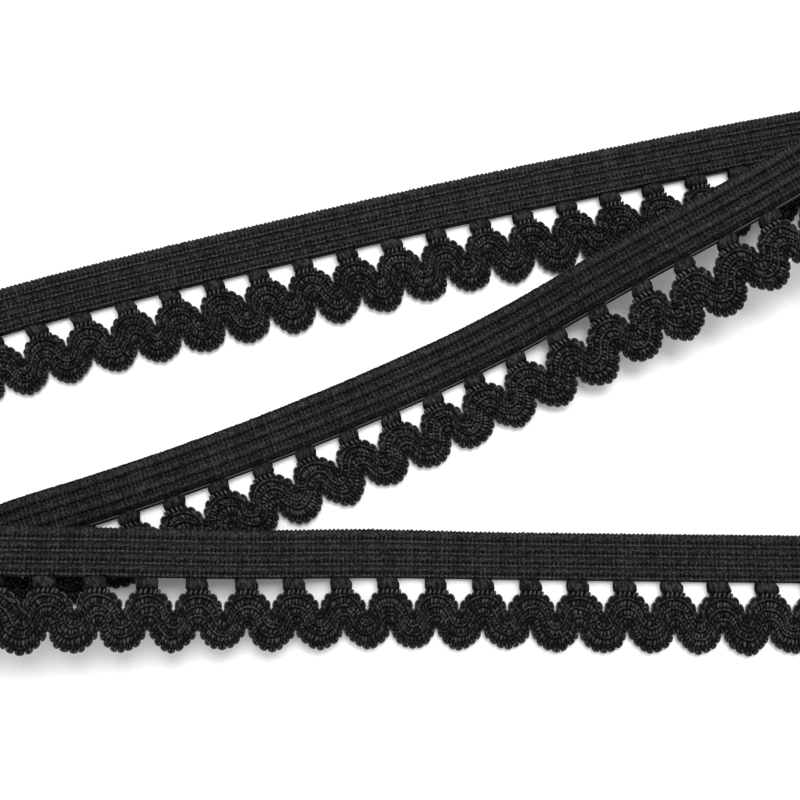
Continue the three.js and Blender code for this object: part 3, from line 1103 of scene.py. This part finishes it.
def shaded(name, values):
    """A material, and its surface shader with these values."""
    material = bpy.data.materials.new(name)
    material.use_nodes = True
    shader = material.node_tree.nodes["Principled BSDF"]
    set_inputs(shader, values)
    return material, shader


def attribute(tree, name):
    node = tree.nodes.new("ShaderNodeAttribute")
    node.attribute_name = name
    return node.outputs["Fac"]


def noise(tree, vector, values):
    node = tree.nodes.new("ShaderNodeTexNoise")
    set_inputs(node, values)
    tree.links.new(vector, node.inputs["Vector"])
    return node.outputs["Fac"]


def calculated(tree, kind, operation, values):
    """The result of a math node, whose values are numbers or the outputs of other nodes."""
    node = tree.nodes.new(kind)
    node.operation = operation
    for socket, value in zip(node.inputs, values):
        if isinstance(value, bpy.types.NodeSocket):
            tree.links.new(value, socket)
        else:
            socket.default_value = value
    return node.outputs[0]


def yarn_material(name, light, roughness, grain, streak, fineness=FINENESS):
    """Yarn: its tone varies between yarns and along them, it carries painted shade from its crest
    attribute, and fine filaments run along it.
    """
    surface = {"Roughness": roughness, "Specular IOR Level": YARN_SPECULAR, **SHEEN}
    material, shader = shaded(name, surface)
    tree = material.node_tree

    cloudy = noise(tree, tree.nodes.new("ShaderNodeTexCoord").outputs["Object"], CLOUDS)
    strand = tree.nodes.new("ShaderNodeUVMap")
    strand.uv_map = "strand"
    unrolled = (strand.outputs["UV"], fineness)
    fine = calculated(tree, "ShaderNodeVectorMath", "MULTIPLY", unrolled)
    streaks = noise(tree, fine, FILAMENTS)

    whole = attribute(tree, "tone")
    for part, weight in ((cloudy, grain), (streaks, streak)):
        whole = calculated(tree, "ShaderNodeMath", "MULTIPLY_ADD", (part, weight, whole))
    middle = (grain + streak) / 2
    ramp = tree.nodes.new("ShaderNodeMapRange")
    set_inputs(ramp, {"From Min": DARKEST_TONE + middle, "From Max": LIGHTEST_TONE + middle})
    tree.links.new(whole, ramp.inputs["Value"])
    # Painted shade: the tone is scaled by the crest attribute, darker the lower the yarn lies
    factors = (ramp.outputs[0], attribute(tree, "crest"))
    tone_with_painted_shade = calculated(tree, "ShaderNodeMath", "MULTIPLY", factors)
    colours = tree.nodes.new("ShaderNodeMix")
    colours.data_type = "RGBA"
    set_inputs(colours, {"A": DARKEST_YARN_AND_PIT_SHADE, "B": (*light, 1)})
    tree.links.new(tone_with_painted_shade, colours.inputs["Factor"])
    tree.links.new(colours.outputs["Result"], shader.inputs["Base Color"])

    bump = tree.nodes.new("ShaderNodeBump")
    set_inputs(bump, FILAMENT_BUMP)
    tree.links.new(streaks, bump.inputs["Height"])
    tree.links.new(bump.outputs["Normal"], shader.inputs["Normal"])
    return material


BAND_YARN = yarn_material("band_yarn", (0.05, 0.05, 0.051), 0.5, 3.5, 2.5, BAND_FINENESS)
EDGING_YARN = yarn_material("edging_yarn", (0.068, 0.068, 0.069), 0.45, 1.8, 1.5)
# The core's darker colour is painted shade for the gaps between the yarns
CORE_YARN = yarn_material("core_yarn", (0.02, 0.02, 0.0203), 0.7, 1.5, 0.5)


def dress(piece):
    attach(piece, "root")
    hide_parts(NODE)
    return piece


BAND_SHADE_HEIGHTS = 0.2, 0.68  # heights where the painted pit shade is darkest and where it ends, on the crests
EDGING_SHADE_HEIGHTS = 0.24, 0.72
core = dress(core_sheet(CORE_YARN))
yarn_pieces = []
for number, run in enumerate(RUNS, start=1):
    band = [band_weft(run), *band_wales(run), *edge_cords(run)]
    strands = [*edging_strands(run), *crown_strands(run), picot_strands(run)]
    chains = [*edging_wales(run), rim_cord(run, 0), rim_cord(run, 1)]
    yarn_pieces += [
        dress(knit(f"band_{number}", band, BAND_YARN, *BAND_SHADE_HEIGHTS)),
        dress(knit(f"knots_{number}", list(knots(run)), EDGING_YARN, *EDGING_SHADE_HEIGHTS)),
        dress(knit(f"edging_{number}", strands, EDGING_YARN, *EDGING_SHADE_HEIGHTS)),
        dress(knit(f"chains_{number}", chains, EDGING_YARN, *EDGING_SHADE_HEIGHTS)),
    ]


# Floor, light and camera
def aim(thing, place, target):
    thing.location = place
    thing.rotation_euler = (target - place).to_track_quat("-Z", "Y").to_euler()
    bpy.context.scene.collection.objects.link(thing)


FLOOR_HALF = 0.8
corners = [(x * FLOOR_HALF, y * FLOOR_HALF, 0) for x, y in ((-1, -1), (1, -1), (1, 1), (-1, 1))]
floor_mesh = bpy.data.meshes.new("floor")
floor_mesh.from_pydata(corners, [], [(0, 1, 2, 3)])
floor_mesh.materials.append(shaded("floor", FLOOR)[0])
floor = bpy.data.objects.new("floor", floor_mesh)
bpy.context.scene.collection.objects.link(floor)

TARGET = Vector((-BOX_MIDDLE[0], -BOX_MIDDLE[1], 0)) * METRES

KEY = {"size": 0.45, "energy": 3.6, "place": (0.08, 0.24, 0.6)}
SKY = {"Color": (1, 1, 1, 1), "Strength": 0.95}

key = bpy.data.lights.new("key", "AREA")
key.shape = "DISK"
key.size = KEY["size"]
key.energy = KEY["energy"]
aim(bpy.data.objects.new("key", key), Vector(KEY["place"]), TARGET)

world = bpy.data.worlds.new("studio")
bpy.context.scene.world = world
world.use_nodes = True
set_inputs(world.node_tree.nodes["Background"], SKY)

camera = bpy.data.cameras.new("camera")
camera.lens = CAMERA["lens"]
camera.sensor_width = CAMERA["sensor"]
camera.clip_start = CAMERA["nearest"]
elevation = math.radians(CAMERA["elevation"])
towards = Vector((0, -math.cos(elevation), math.sin(elevation)))
viewer = bpy.data.objects.new("camera", camera)
aim(viewer, TARGET + towards * CAMERA["distance"] * METRES, TARGET)
bpy.context.scene.camera = viewer
bpy.context.scene.view_settings.view_transform = "Standard"
